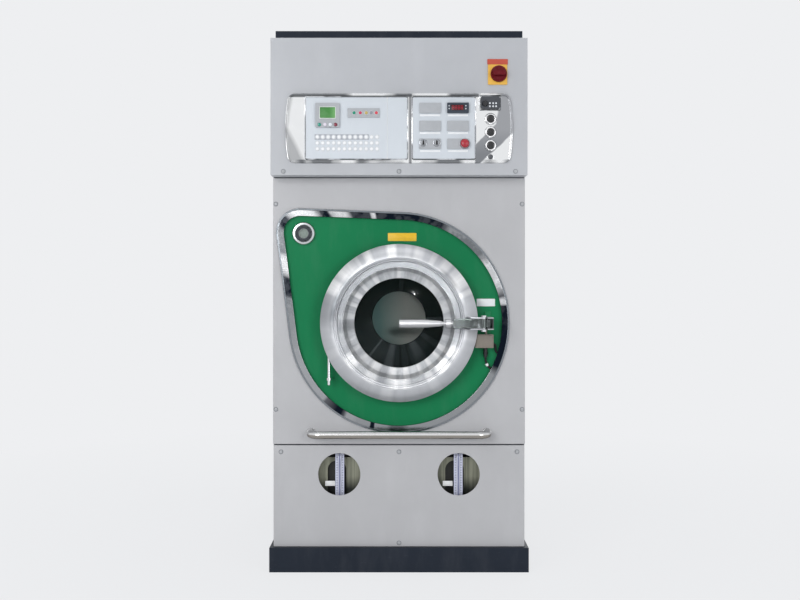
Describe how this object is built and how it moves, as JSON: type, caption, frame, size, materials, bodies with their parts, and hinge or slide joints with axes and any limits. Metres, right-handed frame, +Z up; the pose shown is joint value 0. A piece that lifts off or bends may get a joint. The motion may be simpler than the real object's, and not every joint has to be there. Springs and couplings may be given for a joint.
{
  "type": "dry cleaning machine",
  "caption": "Dry cleaning machine: floor cabinet on a spill tray with a round glazed loading door, rotating cage in a sealed tub, solvent tanks with level windows and a control panel above.",
  "frame": {"origin": "on the floor, under the middle of the spill tray", "axes": "+Z up, -Y towards the operator in front of the loading door, +X to the operator's right"},
  "size_m": [0.93, 1.604, 1.963],
  "materials": {
    "tray_paint": "dark blue-grey enamel",
    "frame_paint": "grey enamel",
    "panel_paint": "light grey enamel, satin",
    "housing_paint": "light grey enamel, satin",
    "port_green": "green enamel, satin",
    "chrome": "polished",
    "steel": "brushed",
    "cast_grey": "painted grey",
    "tank_paint": "olive grey enamel",
    "motor_paint": "blue enamel",
    "galvanised": "galvanised sheet",
    "white_plate": "white, satin",
    "grey_plastic": "fine grain",
    "key_plastic": "smooth",
    "yellow_plate": "yellow with a red band",
    "red_plastic": "glossy",
    "black_plastic": "glossy",
    "dark_plastic": "fine grain",
    "rubber": "matte",
    "handle_white": "polished",
    "glass": "clear, slightly green",
    "key_green": "glossy",
    "key_pink": "glossy",
    "key_red": "glossy",
    "grey_enamel": "grey enamel"
  },
  "bodies": {
    "cabinet": {"base_tray": "tray_paint", "frame": "frame_paint", "left_side_panel": "panel_paint", "right_side_panel": "panel_paint", "rear_panel": "panel_paint", "top_cover": "tray_paint", "middle_front_panel": "panel_paint", "lower_front_panel": "panel_paint", "control_housing": "housing_paint", "control_bezel": "chrome", "control_plates": "white_plate", "display_unit": "grey_plastic", "control_modules": "grey_plastic", "key_matrix": "key_plastic", "switch_plate": "yellow_plate", "timer_box": "dark_plastic", "port_trim": "chrome", "port_plate": "port_green", "loading_ring": "steel", "hinge_brackets": "steel", "hinge_pin": "chrome", "keeper_bracket": "cast_grey", "interlock_switch": "grey_plastic", "interlock_lead": "rubber", "sight_glass": "steel", "grab_rail": "chrome", "outer_tub": "galvanised", "bearing_housing": "cast_grey", "shaft_bearings": "steel", "drum_motor": "motor_paint", "drive_belts": "rubber", "solvent_tanks": "tank_paint", "level_gauges": "key_plastic", "solvent_pump": "motor_paint", "solvent_filter": "grey_enamel", "still": "steel", "drying_unit": "galvanised"},
    "door": {"door_ring": "steel", "door_frame": "steel", "door_glass": "glass", "door_gasket": "rubber", "latch_pin": "chrome"},
    "handle": {"latch_arm": "cast_grey", "handle_grip": "handle_white"},
    "drum": {"cage_drum": "steel", "drum_pulley": "cast_grey"},
    "motor_rotor": {"motor_pulley": "cast_grey"},
    "switch_handle": {"switch_handle": "red_plastic"},
    "selector_left": {"selector_left": "black_plastic"},
    "selector_right": {"selector_right": "black_plastic"},
    "stop_button": {"stop_button": "red_plastic"},
    "timer_knob": {"timer_knob": "black_plastic"},
    "lock_barrel": {"lock_barrel": "chrome"},
    "push_button_top": {"push_button_top": "black_plastic"},
    "push_button_middle": {"push_button_middle": "black_plastic"},
    "push_button_low": {"push_button_low": "black_plastic"},
    "display_key_1": {"display_key_1": "key_green"},
    "display_key_2": {"display_key_2": "key_pink"},
    "display_key_3": {"display_key_3": "key_plastic"},
    "display_key_4": {"display_key_4": "key_red"}
  },
  "joints": [
    {"name": "door_hinge", "type": "hinge", "parent": "cabinet", "child": "door", "pos_m": [-0.25, -0.762, 0.894], "axis": [0, 0, -1], "range_deg": [0, 110]},
    {"name": "latch_handle", "type": "hinge", "parent": "door", "child": "handle", "pos_m": [0.296, -0.837, 0.894], "axis": [0, 0, 1], "range_deg": [0, 95]},
    {"name": "drum_spin", "type": "hinge", "parent": "cabinet", "child": "drum", "pos_m": [0, 0, 0.894], "axis": [0, 1, 0], "continuous": true},
    {"name": "motor_spin", "type": "hinge", "parent": "cabinet", "child": "motor_rotor", "pos_m": [0.18, 0.18, 0.59], "axis": [0, 1, 0], "continuous": true},
    {"name": "main_switch", "type": "hinge", "parent": "cabinet", "child": "switch_handle", "pos_m": [0.351, -0.805, 1.7725], "axis": [0, 1, 0], "range_deg": [0, 90]},
    {"name": "selector_left_turn", "type": "hinge", "parent": "cabinet", "child": "selector_left", "pos_m": [0.0855, -0.815, 1.529], "axis": [0, 1, 0], "range_deg": [-60, 60]},
    {"name": "selector_right_turn", "type": "hinge", "parent": "cabinet", "child": "selector_right", "pos_m": [0.1326, -0.815, 1.529], "axis": [0, 1, 0], "range_deg": [-60, 60]},
    {"name": "timer_turn", "type": "hinge", "parent": "cabinet", "child": "timer_knob", "pos_m": [0.302, -0.817, 1.6665], "axis": [0, 1, 0], "range_deg": [0, 300]},
    {"name": "lock_turn", "type": "hinge", "parent": "cabinet", "child": "lock_barrel", "pos_m": [0.3225, -0.805, 1.4805], "axis": [0, 1, 0], "range_deg": [0, 90]},
    {"name": "stop_press", "type": "slide", "parent": "cabinet", "child": "stop_button", "axis": [0, 1, 0], "range_m": [0, 0.004]},
    {"name": "push_top_press", "type": "slide", "parent": "cabinet", "child": "push_button_top", "axis": [0, 1, 0], "range_m": [0, 0.004], "stiffness_N_per_m": 600, "springref_m": -0.002},
    {"name": "push_middle_press", "type": "slide", "parent": "cabinet", "child": "push_button_middle", "axis": [0, 1, 0], "range_m": [0, 0.004], "stiffness_N_per_m": 600, "springref_m": -0.002},
    {"name": "push_low_press", "type": "slide", "parent": "cabinet", "child": "push_button_low", "axis": [0, 1, 0], "range_m": [0, 0.004], "stiffness_N_per_m": 600, "springref_m": -0.002},
    {"name": "display_key_1_press", "type": "slide", "parent": "cabinet", "child": "display_key_1", "axis": [0, 1, 0], "range_m": [0, 0.0015], "stiffness_N_per_m": 400, "springref_m": -0.001},
    {"name": "display_key_2_press", "type": "slide", "parent": "cabinet", "child": "display_key_2", "axis": [0, 1, 0], "range_m": [0, 0.0015], "stiffness_N_per_m": 400, "springref_m": -0.001},
    {"name": "display_key_3_press", "type": "slide", "parent": "cabinet", "child": "display_key_3", "axis": [0, 1, 0], "range_m": [0, 0.0015], "stiffness_N_per_m": 400, "springref_m": -0.001},
    {"name": "display_key_4_press", "type": "slide", "parent": "cabinet", "child": "display_key_4", "axis": [0, 1, 0], "range_m": [0, 0.0015], "stiffness_N_per_m": 400, "springref_m": -0.001}
  ],
  "couplings": [
    {"joint": "motor_spin", "follows": "drum_spin", "ratio": 4.4}
  ]
}
